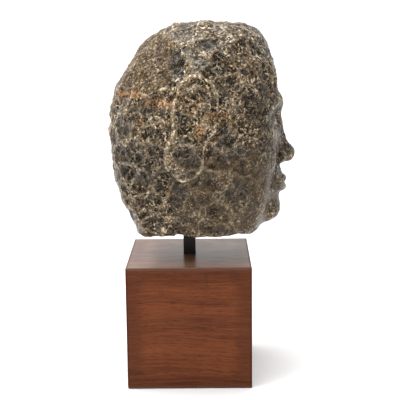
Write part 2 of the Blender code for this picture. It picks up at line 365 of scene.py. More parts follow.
EYE_TURN = 17
EYE_SOCKET = Form((0.456, 0.128, 0.545), (0.054, 0.090, 0.044), 2.0, ("z", EYE_TURN), 0.050)
EYEBALL = Form((0.366, 0.142, 0.516), (0.056, 0.088, 0.060), 2.0, ("z", EYE_TURN), 0.004)
EYE_HALF_WIDTH = 0.074
LID_THICKNESS = 0.010
LID_BLEND = 0.014
LID_POINTS = 13
CREASE_HEIGHT = 0.031
CREASE_ARCH = 0.013
CREASE_RADIUS = 0.0045
CREASE_THINNING = 0.004
CREASE_BLEND = 0.008
OPENING_DROP = 0.008
OPENING_SAG = 0.004
OPENING_RADIUS = 0.0100
CORNER_RADIUS = 0.0035
OPENING_BLEND = 0.004

NOSE_FLANK = Form((0.432, 0.030, 0.395), (0.040, 0.034, 0.080), 2.0, ("y", -16), 0.030)
NOSE_TIP = Form((0.492, 0, 0.368), (0.048, 0.044, 0.043), blend=0.020)
NOSE_WING = Form((0.456, 0.053, 0.354), (0.045, 0.030, 0.035), 2.0, ("z", 16), 0.014)
NOSTRIL = Form((0.478, 0.026, 0.320), (0.025, 0.013, 0.011), 2.0, ("z", 22), 0.010)
BRIDGE_LINE = ((0.412, 0, 0.610), (0.430, 0, 0.548), (0.474, 0, 0.420), (0.492, 0, 0.372))
BRIDGE_RADII = (0.036, 0.028, 0.030, 0.038)
BRIDGE_BLEND = 0.045
LIP_GROOVE_LINE = ((0.494, 0, 0.312), (0.497, 0, 0.264))
LIP_GROOVE_RADII = (0.007, 0.012)
LIP_GROOVE_BLEND = 0.016
MOUTH_HALF_WIDTH = 0.100
MOUTH_HEIGHT = 0.2245
UPPER_LIP_RISE = 0.017
UPPER_LIP_FALL = 0.010
UPPER_LIP_BOW = 0.003
UPPER_LIP_RADIUS = 0.018
UPPER_LIP_BLEND = 0.010
LOWER_LIP_DROP = 0.0185
LOWER_LIP_RISE = 0.016
LOWER_LIP_WIDTH = 0.92
LOWER_LIP_RADIUS = 0.0215
LOWER_LIP_BLEND = 0.012
LIP_SINK = 0.004
THIN_END = 0.002
LINE_DIP = 0.003
LINE_RISE = 0.008
LINE_WIDTH = 1.04
LINE_LIFT = 0.012
LINE_RADIUS = 0.0085
LINE_THINNING = 0.0045
LINE_BLEND = 0.008
FOLD_START = (0.098, 0.330)
FOLD_RUN = (0.046, -0.110)
FOLD_LIFT = 0.006
FOLD_RADIUS = 0.0045
FOLD_THINNING = 0.002
FOLD_BLEND = 0.026

EAR_MIDDLE = (0.030, 0.545)
EAR_LEAN = radians(-6)
EAR_THICKNESS = 0.013
EAR_SHELL = Oval((0.008, 0.055), (0.116, 0.185))
EAR_LOBE = Oval((-0.022, -0.155), (0.098, 0.118), 2.4)
EAR_BOWL = Oval((-0.008, 0.000), (0.050, 0.095))
EAR_FORK = Oval((0.032, 0.130), (0.040, 0.030), 2.0)
EAR_FLAP = Oval((0.066, -0.010), (0.018, 0.040), 2.0)
EAR_BLEND = 0.05
EAR_EDGE_INSET = 0.008
EAR_EDGE_WIDTH = 0.034
EAR_ROOT = 0.075
ROOT_WIDTH = 0.10
EAR_SIDE = 0.20
EAR_FADE = 0.08
LOBE_TOP = -0.05
RIM_GAP = (0.055, 0.02)
RIM_GAP_FADE = 0.06
BOWL_SLOPE = 0.034
FORK_SLOPE = 0.030
RIM_HEIGHT = 0.0055
RIM_INSET = 0.014
RIM_WIDTH = 0.0085
GROOVE_INSET = 0.034
BOWL_DEPTH = 0.010
FORK_DEPTH = 0.008
FLAP_HEIGHT = 0.008

WEAR_DEPTH = 0.0030
WEAR_WAVES = (
    (1.0, (9, 4, 0, 1.3), (0, -5, 11, 0.4)),
    (0.6, (19, 0, -8, 2.1), (0, 17, 13, 0.9)),
    (0.4, (12, 0, 31, 0.0), (27, -21, 0, 1.7)),
)
LINE_OF_SIGHT_MIDDLE = np.array((0.06, 0.0, 0.48))
OUTSIDE = 0.95
LAID_STEPS = 60
SIGHT_STEPS = 70
STEP_SHARE = 0.8
LONGEST_STEP = 0.2
LONGEST_STEP_BACK = 0.02
CLOSE_ENOUGH = 2e-4


def soft_union(a, b, blend):
    share = np.clip(0.5 + 0.5 * (b - a) / blend, 0.0, 1.0)
    return b + (a - b) * share - blend * share * (1 - share)


def soft_cut(a, b, blend):
    """a with b taken out of it."""
    return -soft_union(-a, b, blend)


def soft_common(a, b, blend):
    """What lies in both a and b."""
    return -soft_union(-a, -b, blend)


def turned(turn):
    """The 3x3 rotation about an axis, by degrees."""
    axis, degrees = turn
    c, s = cos(radians(degrees)), sin(radians(degrees))
    i, j = {"x": (1, 2), "y": (2, 0), "z": (0, 1)}[axis]
    matrix = np.eye(3)
    matrix[i, i] = matrix[j, j] = c
    matrix[i, j], matrix[j, i] = -s, s
    return matrix


def distance_to(points, form, swell=0.0):
    """How far each point is outside the form, less than zero inside it."""
    half = np.array(form.half) + swell
    local = (points - np.array(form.middle)) @ turned(form.turn)
    share = np.abs(local / half) + 1e-9
    size = (share**form.power).sum(1) ** (1 / form.power)
    slope = share ** (form.power - 1) / half * (size ** (1 - form.power))[:, None]
    return (size - 1) / np.sqrt((slope**2).sum(1))


def distance_to_bead(points, bead):
    nearest = np.full(len(points), np.inf)
    for start, end, first, last in zip(bead.line, bead.line[1:], bead.radii, bead.radii[1:]):
        along = end - start
        t = np.clip(((points - start) @ along) / (along @ along), 0, 1)
        gap = np.linalg.norm(points - start - t[:, None] * along, axis=1)
        nearest = np.minimum(nearest, gap - first - (last - first) * t)
    return nearest


def add(points, surface, form):
    return soft_union(surface, distance_to(points, form), form.blend)


def carve(points, surface, form):
    return soft_cut(surface, distance_to(points, form), form.blend)


def add_bead(points, surface, bead):
    return soft_union(surface, distance_to_bead(points, bead), bead.blend)


def carve_groove(points, surface, bead):
    return soft_cut(surface, distance_to_bead(points, bead), bead.blend)


def bare_skull(points):
    surface = distance_to(points, VAULT)
    for form in (FOREHEAD, NAPE, FACE, JAW, THROAT, CHEEK):
        surface = add(points, surface, form)
    x, y, z = points.T
    crown = z - CROWN_HEIGHT + CROWN_FALL * x + CROWN_DOME * y**2
    surface = soft_common(surface, crown, CROWN_BLEND)
    upper_back = points @ UPPER_BACK_SLOPE - UPPER_BACK_REACH
    surface = soft_common(surface, upper_back, UPPER_BACK_BLEND)
    return soft_common(surface, points @ NAPE_SLOPE - NAPE_REACH, NAPE_BLEND)


def filled_face(points):
    """The skull with the masses round the mouth and the chin."""
    return add(points, add(points, bare_skull(points), MUZZLE), CHIN)


def laid_on(field, y, z, lift):
    """The line that the front shows at y, z, laid on a field's surface and lifted off it."""
    x = np.full(len(y), OUTSIDE)
    for _ in range(LAID_STEPS):
        x -= field(np.stack([x, y, z], 1)) * STEP_SHARE
    return np.stack([x + lift, y, z], 1)


def brow_bead():
    """The brow, from beside the nose up and out to the temple."""
    t = np.linspace(0, 1, LINE_POINTS)
    arch = np.sin(np.pi * (0.06 + 0.80 * t))
    height = BROW_HEIGHT + BROW_ARCH * arch - BROW_FALL * t**2
    line = laid_on(bare_skull, BROW_START + BROW_LENGTH * t, height, -BROW_SINK)
    return Bead(line, BROW_HALF_THICKNESS * (1 - t**3) + THIN_END, BROW_BLEND)


def over_the_eye(y, z):
    """Points of the closed lids, y across and z up from the middle of the eyeball."""
    half = np.array(EYEBALL.half) + LID_THICKNESS
    x = half[0] * np.sqrt(np.clip(1 - (y / half[1]) ** 2 - (z / half[2]) ** 2, 0.02, 1))
    return np.stack([x, y, z], 1) @ turned(EYEBALL.turn).T + np.array(EYEBALL.middle)


def lid_crease():
    """The fold above the upper lid."""
    t = np.linspace(-1, 1, LID_POINTS)
    line = over_the_eye(EYE_HALF_WIDTH * t, CREASE_HEIGHT + CREASE_ARCH * (1 - t**2))
    return Bead(line, CREASE_RADIUS - CREASE_THINNING * t**2, CREASE_BLEND)


def eye_opening():
    """The gap between the lids of a half-closed eye."""
    t = np.linspace(-1, 1, LID_POINTS)
    line = over_the_eye(EYE_HALF_WIDTH * t, -OPENING_DROP - OPENING_SAG * t**2)
    return Bead(line, CORNER_RADIUS + OPENING_RADIUS * (1 - t**2), OPENING_BLEND)


def upper_lip():
    t = np.linspace(0, 1, LINE_POINTS)
    bow = UPPER_LIP_BOW * np.sin(np.pi * np.clip(2.2 * t, 0, 1))
    height = MOUTH_HEIGHT + UPPER_LIP_RISE + bow - UPPER_LIP_FALL * t**1.5
    line = laid_on(filled_face, MOUTH_HALF_WIDTH * t, height, -LIP_SINK)
    return Bead(line, UPPER_LIP_RADIUS * (1 - t**2.4) + THIN_END, UPPER_LIP_BLEND)


def lower_lip():
    t = np.linspace(0, 1, LINE_POINTS)
    height = MOUTH_HEIGHT - LOWER_LIP_DROP + LOWER_LIP_RISE * t**2
    line = laid_on(filled_face, LOWER_LIP_WIDTH * MOUTH_HALF_WIDTH * t, height, -LIP_SINK)
    return Bead(line, LOWER_LIP_RADIUS * (1 - t**2.2) + THIN_END, LOWER_LIP_BLEND)


def mouth_line():
    """The line where the closed lips meet."""
    t = np.linspace(0, 1, LINE_POINTS)
    height = MOUTH_HEIGHT - LINE_DIP * (1 - t) + LINE_RISE * t**3
    line = laid_on(filled_face, LINE_WIDTH * MOUTH_HALF_WIDTH * t, height, LINE_LIFT)
    return Bead(line, LINE_RADIUS - LINE_THINNING * t, LINE_BLEND)


def cheek_fold():
    """The soft fold from the nose down past the mouth's corner."""
    t = np.linspace(0, 1, LINE_POINTS)
    across = FOLD_START[0] + FOLD_RUN[0] * t**0.9
    line = laid_on(filled_face, across, FOLD_START[1] + FOLD_RUN[1] * t, FOLD_LIFT)
    return Bead(line, FOLD_RADIUS - FOLD_THINNING * t, FOLD_BLEND)


BROW = brow_bead()
LID_CREASE = lid_crease()
EYE_OPENING = eye_opening()
NOSE_BRIDGE = Bead(np.array(BRIDGE_LINE), np.array(BRIDGE_RADII), BRIDGE_BLEND)
LIP_GROOVE = Bead(np.array(LIP_GROOVE_LINE), np.array(LIP_GROOVE_RADII), LIP_GROOVE_BLEND)
UPPER_LIP = upper_lip()
LOWER_LIP = lower_lip()
MOUTH_LINE = mouth_line()
CHEEK_FOLD = cheek_fold()


def eyes(points, surface):
    """Lids over the balls, parted enough to show a little of each."""
    surface = carve(points, surface, EYE_SOCKET)
    surface = soft_union(surface, distance_to(points, EYEBALL, LID_THICKNESS), LID_BLEND)
    surface = carve_groove(points, surface, LID_CREASE)
    surface = carve_groove(points, surface, EYE_OPENING)
    return add(points, surface, EYEBALL)


def nose(points, surface):
    surface = add_bead(points, surface, NOSE_BRIDGE)
    for form in (NOSE_FLANK, NOSE_TIP, NOSE_WING):
        surface = add(points, surface, form)
    return carve(points, surface, NOSTRIL)


def mouth(points, surface):
    surface = carve_groove(points, surface, LIP_GROOVE)
    surface = add_bead(points, surface, UPPER_LIP)
    surface = add_bead(points, surface, LOWER_LIP)
    surface = carve_groove(points, surface, MOUTH_LINE)
    return carve_groove(points, surface, CHEEK_FOLD)


def ridge(value, width):
    return np.exp(-((value / width) ** 2))


def ramp(value, width):
    """0 below, 1 above, rising smoothly over a width about zero."""
    t = np.clip(value / width + 0.5, 0, 1)
    return t * t * (3 - 2 * t)


def outside(u, v, oval):
    """How far a place seen from the side is outside an oval."""
    across = np.abs((u - oval.middle[0]) / oval.half[0]) ** oval.power
    along = np.abs((v - oval.middle[1]) / oval.half[1]) ** oval.power
    return ((across + along) ** (1 / oval.power) - 1) * min(oval.half)


def ear_places(points):
    """Where points lie on the leaning ear: forward of its middle, up along it, off its edge."""
    c, s = cos(EAR_LEAN), sin(EAR_LEAN)
    forward, up = points[:, 0] - EAR_MIDDLE[0], points[:, 2] - EAR_MIDDLE[1]
    u, v = forward * c + up * s, up * c - forward * s
    return u, v, soft_union(outside(u, v, EAR_SHELL), outside(u, v, EAR_LOBE), EAR_BLEND)


def ear_relief(points):
    """How far the long-lobed ear stands off the side of the head."""
    u, v, outline = ear_places(points)
    root = ramp(u - EAR_ROOT, ROOT_WIDTH)
    open_rim = 1 - ramp(u - RIM_GAP[0], RIM_GAP_FADE) * ramp(RIM_GAP[1] - v, EAR_FADE)
    above_lobe = ramp(v - LOBE_TOP, EAR_FADE)
    edge = ramp(outline + EAR_EDGE_INSET, EAR_EDGE_WIDTH)
    height = EAR_THICKNESS * (1 - 0.5 * root) * (1 - edge)
    rim = ridge(outline + RIM_INSET, RIM_WIDTH) * (0.4 + 0.6 * above_lobe)
    groove = 0.5 * ridge(outline + GROOVE_INSET, RIM_WIDTH) * above_lobe
    height += RIM_HEIGHT * (rim - groove) * open_rim
    height -= BOWL_DEPTH * (1 - ramp(outside(u, v, EAR_BOWL), BOWL_SLOPE))
    height -= FORK_DEPTH * (1 - ramp(outside(u, v, EAR_FORK), FORK_SLOPE))
    height += FLAP_HEIGHT * (1 - ramp(outside(u, v, EAR_FLAP), FORK_SLOPE))
    return height


def ears(points, surface):
    side = ramp(points[:, 1] - EAR_SIDE, EAR_FADE)
    return surface - ear_relief(points) * side


def wave(points, run):
    """A wave through the head, by its turns along x, y and z and where it starts."""
    x, y, z = points.T
    along_x, along_y, along_z, start = run
    return np.sin(along_x * x + along_y * y + along_z * z + start)


def wear(points):
    """Broad hollows and swellings, left by the tools and by weather."""
    waves = (share * wave(points, one) * wave(points, two) for share, one, two in WEAR_WAVES)
    return WEAR_DEPTH * sum(waves)


def carved_head(points):
    """How far each point is outside the finished stone."""
    either_side = points * np.array((1, 0, 1)) + np.abs(points) * np.array((0, 1, 0))
    surface = filled_face(either_side)
    surface = add_bead(either_side, surface, BROW)
    surface = eyes(either_side, surface)
    surface = nose(either_side, surface)
    surface = mouth(either_side, surface)
    surface = ears(either_side, surface)
    return soft_common(surface + wear(points), -points[:, 2], CUT_BLEND)


def surface_along(directions):
    """Where lines coming in towards the head's middle first meet the stone."""
    reach = np.full(len(directions), OUTSIDE)
    moving = np.arange(len(directions))
    for _ in range(SIGHT_STEPS):
        points = LINE_OF_SIGHT_MIDDLE + directions[moving] * reach[moving, None]
        gap = carved_head(points)
        reach[moving] -= np.clip(gap * STEP_SHARE, -LONGEST_STEP_BACK, LONGEST_STEP)
        moving = moving[np.abs(gap) > CLOSE_ENOUGH]
        if not len(moving):
            break
    return LINE_OF_SIGHT_MIDDLE + directions * reach[:, None]


def drawn_to_surface(points, rounds=3):
    """Points near the stone's surface, moved onto it along its slope."""
    probe = 1e-3
    for _ in range(rounds):
        gap = carved_head(points)
        rises = [carved_head(points + probe * axis) - gap for axis in np.eye(3)]
        slope = np.stack(rises, 1) / probe
        points = points - (gap / np.maximum((slope**2).sum(1), 0.25))[:, None] * slope
    return points


def points_of(mesh):
    values = np.empty(len(mesh.vertices) * 3, np.float32)
    mesh.vertices.foreach_get("co", values)
    return values.reshape(-1, 3).astype(float)


def place_points(mesh, points):
    mesh.vertices.foreach_set("co", points.astype(np.float32).ravel())
    mesh.update()


def new_piece(name, mesh):
    made = bpy.data.objects.new(name, mesh)
    bpy.context.scene.collection.objects.link(made)
    return made


def finished_mesh(piece):
    """The piece's mesh with its modifiers applied, in place of the old one."""
    bpy.context.view_layer.update()
    graph = bpy.context.evaluated_depsgraph_get()
    old = piece.data
    piece.data = bpy.data.meshes.new_from_object(piece.evaluated_get(graph))
    piece.modifiers.clear()
    bpy.data.meshes.remove(old)
    return piece.data


UPPER_BACK = Oval((-0.205, 0.835), (0.150, 0.155), 2.4)
CROWN_BARE = Oval((0.030, 0.870), (0.085, 0.070), 2.2)
RUBBED_JAW = Oval((0.190, 0.200), (0.260, 0.240), 2.4)
RUBBED_EAR = Oval((0.060, 0.640), (0.150, 0.200))
DARK_SPOTS = (Oval((-0.050, 0.822), (0.030, 0.050)), Oval((0.10, 0.90), (0.030, 0.024)))
OCHRE_SPOTS = (
    Oval((-0.115, 0.640), (0.060, 0.016)),
    Oval((0.062, 0.512), (0.026, 0.030)),
    Oval((0.140, 0.580), (0.050, 0.018)),
    Oval((-0.290, 0.672), (0.060, 0.012)),
    Oval((-0.275, 0.860), (0.020, 0.030)),
)
NEAR_SIDE = 0.05
NEAR_FADE = 0.20
FACE_FRONT = 0.30
FACE_TOP = 0.70
CRISP_EDGE = 0.030
SMUDGED_EDGE = 0.040
SOFT_EDGE = 0.060
FADING_EDGE = 0.120
THIN_LINE = 0.007
CREST_SIDE = 0.25


def within(points, oval, edge):
    """1 inside an oval on the head's sides, 0 outside it, over a soft edge."""
    return 1 - ramp(outside(points[:, 0], points[:, 2], oval), edge)


def crests(points):
    """The thin edges of the ear, which stand proud and are rubbed pale."""
    u, v, outline = ear_places(points)
    bowl = ridge(outside(u, v, EAR_BOWL), THIN_LINE)
    lines = ridge(outline + RIM_INSET, THIN_LINE) + 0.8 * bowl
    return np.clip(lines, 0, 1) * ramp(np.abs(points[:, 1]) - CREST_SIDE, EAR_FADE)


def keep(mesh, name, values):
    """Stores one number for each point, for the stone's relief and its colours to read."""
    made = mesh.attributes.new(name, "FLOAT", "POINT")
    made.data.foreach_set("value", values.astype(np.float32))


def mark_zones(mesh, points):
    """Where the stone is smooth, bare, rubbed, stained or dark."""
    near_side = ramp(-points[:, 1] - NEAR_SIDE, NEAR_FADE)
    in_front = ramp(points[:, 0] - FACE_FRONT, FADING_EDGE)
    below_brow = 1 - ramp(points[:, 2] - FACE_TOP, FADING_EDGE)
    keep(mesh, "smooth_zone", within(points, UPPER_BACK, CRISP_EDGE))
    keep(mesh, "bare_zone", within(points, CROWN_BARE, SOFT_EDGE) * near_side)
    keep(mesh, "jaw_zone", within(points, RUBBED_JAW, FADING_EDGE))
    keep(mesh, "face_zone", in_front * below_brow)
    keep(mesh, "pale_zone", within(points, RUBBED_EAR, FADING_EDGE))
    keep(mesh, "crest", crests(points))
    ochre = sum(within(points, spot, CRISP_EDGE) for spot in OCHRE_SPOTS)
    keep(mesh, "ochre_spots", np.clip(ochre, 0, 1) * near_side)
    dark = sum(within(points, spot, SMUDGED_EDGE) for spot in DARK_SPOTS)
    keep(mesh, "dark_spots", np.clip(dark, 0, 1) * near_side)


FINE_FACE = 0.0066
SPHERE_CUTS = 7
head_low, head_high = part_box("stone_head")


def carved_stone():
    """The carving as an even mesh of small faces, at the size and place of the solid."""
    shape = bmesh.new()
    bmesh.ops.create_icosphere(shape, subdivisions=SPHERE_CUTS, radius=1.0)
    mesh = bpy.data.meshes.new("carved_stone")
    shape.to_mesh(mesh)
    shape.free()
    directions = points_of(mesh)
    directions /= np.linalg.norm(directions, axis=1)[:, None]
    place_points(mesh, surface_along(directions))
    stone = new_piece("carved_stone", mesh)
    even = stone.modifiers.new("even_faces", "REMESH")
    even.mode = "VOXEL"
    even.voxel_size = FINE_FACE
    mesh = finished_mesh(stone)
    points = drawn_to_surface(points_of(mesh))
    mark_zones(mesh, points)
    size = np.array(head_high) - np.array(head_low)
    points *= size / np.ptp(points, axis=0)
    points[:, 2] += head_low.z - points[:, 2].min()
    place_points(mesh, points)
    mesh.shade_smooth()
    return stone


class Strokes(NamedTuple):
    """Short crooked strokes, and the two values of their noise at their foot and crest."""

    width: float
    seed: float
    low: float
    high: float


LUMP_DEPTH = 0.0026
LUMP_SIZE = 0.0280
SCALLOP_DEPTH = 0.0075
SCALLOP_SIZE = 0.0200
SCALLOP_LEVEL = 0.62
PECK_DEPTH = 0.0009
PECK_SIZE = 0.0065
RIDGE_HEIGHT = 0.00050
FLAKE_DEPTH = 0.0015
FLAKE_SIZE = 0.022
LEDGE_DEPTH = 0.0003
CREST_HEIGHT = 0.0009
HOLLOW_STEPS = 6
BROAD_HOLLOW_STEPS = 50

TOOL_RIDGES = Strokes(0.0038, 23.0, 0.56, 0.68)
STROKE_TURNS = (20, 78, 142)
STROKE_LENGTH = 3.2
STROKE_BEND = 2.5
STROKE_BREADTH = 0.7
UNEVEN_CUTS = Mottle(60.0, 2.0, 0.5, 28.0)
UNEVEN_SHIFT = 0.012


def strokes(place, kind):
    """Strokes that lie in three directions: 1 on their crests, 0 between them."""
    bends = Mottle(0.25 / kind.width, 2.0, 0.5, kind.seed + 0.5)
    bent = place.pushed(bends, STROKE_BEND * kind.width)
    found = None
    for turn in STROKE_TURNS:
        inputs = {"Vector": bent, "Angle": radians(turn)}
        along = place.node("ShaderNodeVectorRotate", {"rotation_type": "Y_AXIS"}, inputs)
        scale = (1 / STROKE_LENGTH / kind.width, STROKE_BREADTH / kind.width, 1 / kind.width)
        stroke = along.mask(Mottle(scale, 1.0, 0.5, kind.seed + 0.01 * turn, kind.low, kind.high))
        found = stroke if found is None else found.greater(stroke)
    return found


def add_inputs(tree, sizes):
    """The tree's geometry and number inputs, and the wires that lead from them."""
    sockets = tree.interface
    sockets.new_socket(name="Geometry", in_out="INPUT", socket_type="NodeSocketGeometry")
    for name, value in sizes.items():
        made = sockets.new_socket(name=name, in_out="INPUT", socket_type="NodeSocketFloat")
        made.default_value = value
    sockets.new_socket(name="Geometry", in_out="OUTPUT", socket_type="NodeSocketGeometry")
    group = tree.nodes.new("NodeGroupInput")
    return {socket.name: Wire(tree, socket) for socket in group.outputs if socket.name}


def keep_depth(wire, geometry, name, steps, normal):
    """Stores how far each point lies below the surface round it, in metres."""
    place = wire.node("GeometryNodeInputPosition")
    inputs = {"Value": place, "Iterations": steps}
    smooth = wire.node("GeometryNodeBlurAttribute", {"data_type": "FLOAT_VECTOR"}, inputs)
    off = wire.vector("SUBTRACT", {0: smooth, 1: place})
    depth = wire.vector("DOT_PRODUCT", {0: off, 1: normal}, 1)
    settings = {"data_type": "FLOAT", "domain": "POINT"}
    inputs = {"Geometry": geometry, "Name": name, "Value": depth}
    return wire.node("GeometryNodeStoreNamedAttribute", settings, inputs)


def kept(wire, name):
    settings = {"data_type": "FLOAT"}
    return wire.node("GeometryNodeInputNamedAttribute", settings, {"Name": name})


def weathered_surface(material):
    """Pecked and flaked stone, raised and sunk along the normal of the carving."""
    tree = bpy.data.node_groups.new("weathered_surface", "GeometryNodeTree")
    sizes = {
        "Lump Depth": LUMP_DEPTH,
        "Lump Size": LUMP_SIZE,
        "Scallop Depth": SCALLOP_DEPTH,
        "Scallop Size": SCALLOP_SIZE,
        "Peck Depth": PECK_DEPTH,
        "Peck Size": PECK_SIZE,
        "Ridge Height": RIDGE_HEIGHT,
        "Flake Depth": FLAKE_DEPTH,
        "Flake Size": FLAKE_SIZE,
        "Ledge Depth": LEDGE_DEPTH,
        "Crest Height": CREST_HEIGHT,
    }
    given = add_inputs(tree, sizes)
    wire = Wire(tree)
    place = wire.node("GeometryNodeInputPosition")
    normal = wire.node("GeometryNodeInputNormal")
    smooth_zone = kept(wire, "smooth_zone")
    calm = 1.0 - 0.5 * smooth_zone - 0.35 * kept(wire, "jaw_zone")
    formed = 1.0 - 0.8 * kept(wire, "face_zone")
    pecks = place.noise(Mottle(1.0 / given["Peck Size"], 3.0, 0.62, 22.0)) - 0.5
    flakes = place.mask(Mottle(1.0 / given["Flake Size"], 3.0, 0.55, 24.0, 0.55, 0.61))
    lumps = place.noise(Mottle(1.0 / given["Lump Size"], 2.0, 0.5, 26.0)) - 0.5
    uneven = place.pushed(UNEVEN_CUTS, UNEVEN_SHIFT)
    scallops = uneven.cells(1.0 / given["Scallop Size"]) - SCALLOP_LEVEL
    height = (pecks * 2.0 * given["Peck Depth"]) * calm * (0.3 + 0.7 * formed)
    height = height + lumps * 2.0 * given["Lump Depth"] * formed
    height = height + scallops * given["Scallop Depth"] * calm * formed
    height = height + strokes(place, TOOL_RIDGES) * given["Ridge Height"] * calm
    height = height + kept(wire, "crest") * given["Crest Height"]
    height = height - flakes * given["Flake Depth"] * calm * formed
    height = height - smooth_zone * given["Ledge Depth"]
    step = wire.vector("SCALE", {0: normal, "Scale": height})
    inputs = {"Geometry": given["Geometry"], "Offset": step}
    geometry = wire.node("GeometryNodeSetPosition", {}, inputs)
    geometry = keep_depth(wire, geometry, "hollow", HOLLOW_STEPS, normal)
    geometry = keep_depth(wire, geometry, "broad_hollow", BROAD_HOLLOW_STEPS, normal)
    geometry = wire.node("GeometryNodeRealizeInstances", {}, {"Geometry": geometry})
    inputs = {"Geometry": geometry, "Material": material}
    geometry = wire.node("GeometryNodeSetMaterial", {}, inputs)
    wire.node("NodeGroupOutput", {}, {"Geometry": geometry})
    return tree


STONE_DARK = (0.013, 0.0090, 0.0060, 1)
STONE_SLATE = (0.036, 0.035, 0.032, 1)
STONE_BROWN = (0.094, 0.060, 0.0275, 1)
STONE_GREY = (0.225, 0.215, 0.172, 1)
STONE_CREAM = (0.90, 0.74, 0.52, 1)
STONE_TAN = (0.30, 0.190, 0.090, 1)
STONE_RUST = (0.60, 0.34, 0.15, 1)
STONE_OCHRE = (0.42, 0.180, 0.070, 1)
SHADE_BLACK = (0.003, 0.0026, 0.0022, 1)

RUBBED_SLATE = Tint(STONE_SLATE, 0.55)
OCHRE_STAIN = Tint(STONE_OCHRE, 0.85)
PAINTED_SHADE_IN_HOLLOWS = Tint(STONE_DARK, 0.50)
PAINTED_PIT_SHADE = Tint(SHADE_BLACK, 0.92)
PAINTED_SHADE_IN_FINE_HOLLOWS = Tint(SHADE_BLACK, 0.60)
RUST_IN_STRANDS = Tint(STONE_RUST, 0.65)
PALE_WEAR_AND_HIGHLIGHT_ON_HIGH_POINTS = Tint(STONE_CREAM, 0.12)
RUST_SPOTS = Tint(STONE_RUST, 0.85)
DARK_SMUDGES = Tint(STONE_DARK, 0.8)

GRAIN = Mottle(500, 2.0, 0.6, 32.0)
SLATE_PATCHES = Mottle(60, 4.0, 0.65, 49.0, 0.48, 0.60)
BROWN_BLOTCHES = Mottle(120, 5.0, 0.74, 31.0, 0.42, 0.60)
RUBBED_PATCHES = Mottle(30, 3.0, 0.6, 51.0, 0.50, 0.60)
GREY_PATCHES = Mottle(45, 3.0, 0.5, 35.0, 0.58, 0.70)
STAINS = Mottle(34, 4.0, 0.65, 36.0, 0.64, 0.70)
FINE_PITS = Mottle(560, 1.0, 0.5, 39.0, 0.56, 0.60)
DENSE_PATCHES = Mottle(80, 4.0, 0.65, 40.0, 0.44, 0.60)
PALE_GRAINS = Mottle(380, 1.0, 0.5, 45.0, 0.50, 0.56)
RUSTY_PATCHES = Mottle(55, 3.0, 0.6, 48.0, 0.52, 0.66)
NET_BENDS = Mottle(300, 2.0, 0.6, 46.0)
NET_SHIFT = 0.0045
NET_SCALE = 165
NET_BREAKS = Mottle(200, 3.0, 0.65, 47.0, 0.46, 0.54)
WORN_PATCHES = Mottle(90, 4.0, 0.7, 50.0, 0.50, 0.58)

GASHES = Strokes(0.0024, 38.0, 0.605, 0.630)
COARSE_MARKS = Strokes(0.0019, 41.0, 0.630, 0.652)
FINE_MARKS = Strokes(0.0015, 43.0, 0.638, 0.660)
BROAD_DEPTHS = (0.0001, 0.0012)
HOLLOW_DEPTHS = (0.00002, 0.00030)
HIGH_POINTS = (0.00008, 0.00040)
GRAIN_DEPTH = 0.0009


class Zones:
    """What the stone's colours and marks all read: its kept zones and its rubbed patches."""

    def __init__(self, place):
        self.place = place
        self.smooth = self.read("smooth_zone")
        self.jaw = self.read("jaw_zone")
        self.bare = self.read("bare_zone")
        self.ochre = self.read("ochre_spots")
        self.hollow = self.read("hollow")
        broad = self.read("broad_hollow")
        self.sunk = broad.between(*BROAD_DEPTHS)
        self.proud = (0.0 - broad).between(*BROAD_DEPTHS)
        self.rubbed = place.mask(RUBBED_PATCHES) * (1.0 - self.bare) * (1.0 - 0.8 * self.smooth)
        self.grainy = 1.0 - 0.15 * self.smooth - 0.35 * self.jaw

    def read(self, name):
        return self.place.node("ShaderNodeAttribute", {"attribute_name": name}, output=2)


def stone_pits(place, zones):
    """1 in the gashes and fine pits, 0 on the sound stone."""
    fine = place.mask(FINE_PITS) * (1.0 - 0.5 * zones.rubbed)
    pitted = 1.0 - 0.10 * zones.smooth - 0.45 * zones.jaw
    return (strokes(place, GASHES) * pitted).greater(fine * zones.grainy)


def pale_marks(place, zones):
    """1 where the stone is crushed pale: tool marks, the scallops' edges and the ear's rim."""
    calm = (0.65 * zones.jaw).greater(0.50 * zones.read("face_zone"))
    rough = 1.0 - 0.65 * zones.smooth - calm
    dense = place.mask(DENSE_PATCHES)
    shown = 0.14 + 0.80 * dense + 0.48 * zones.proud + 0.36 * zones.read("pale_zone")
    shown = shown * (1.0 - 0.5 * zones.rubbed)
    breaks = place.mask(NET_BREAKS)
    net = place.pushed(NET_BENDS, NET_SHIFT).cells(NET_SCALE, "DISTANCE_TO_EDGE")
    net = (1.0 - net.between(0.02, 0.08)) * breaks
    marks = net.greater(strokes(place, COARSE_MARKS)) * rough * shown
    uneven = place.pushed(UNEVEN_CUTS, UNEVEN_SHIFT)
    meeting = 1.0 - uneven.cells(1 / SCALLOP_SIZE, "DISTANCE_TO_EDGE").between(0.010, 0.040)
    marks = marks.greater(meeting * place.mask(WORN_PATCHES) * rough * 0.60)
    fine_share = 0.10 + 0.55 * shown + 0.25 * zones.smooth
    marks = marks.greater(strokes(place, FINE_MARKS) * zones.grainy * fine_share)
    rim = zones.read("crest").between(0.62, 0.92)
    return marks.greater(rim * (0.14 + 0.32 * breaks + 0.40 * place.mask(PALE_GRAINS)))


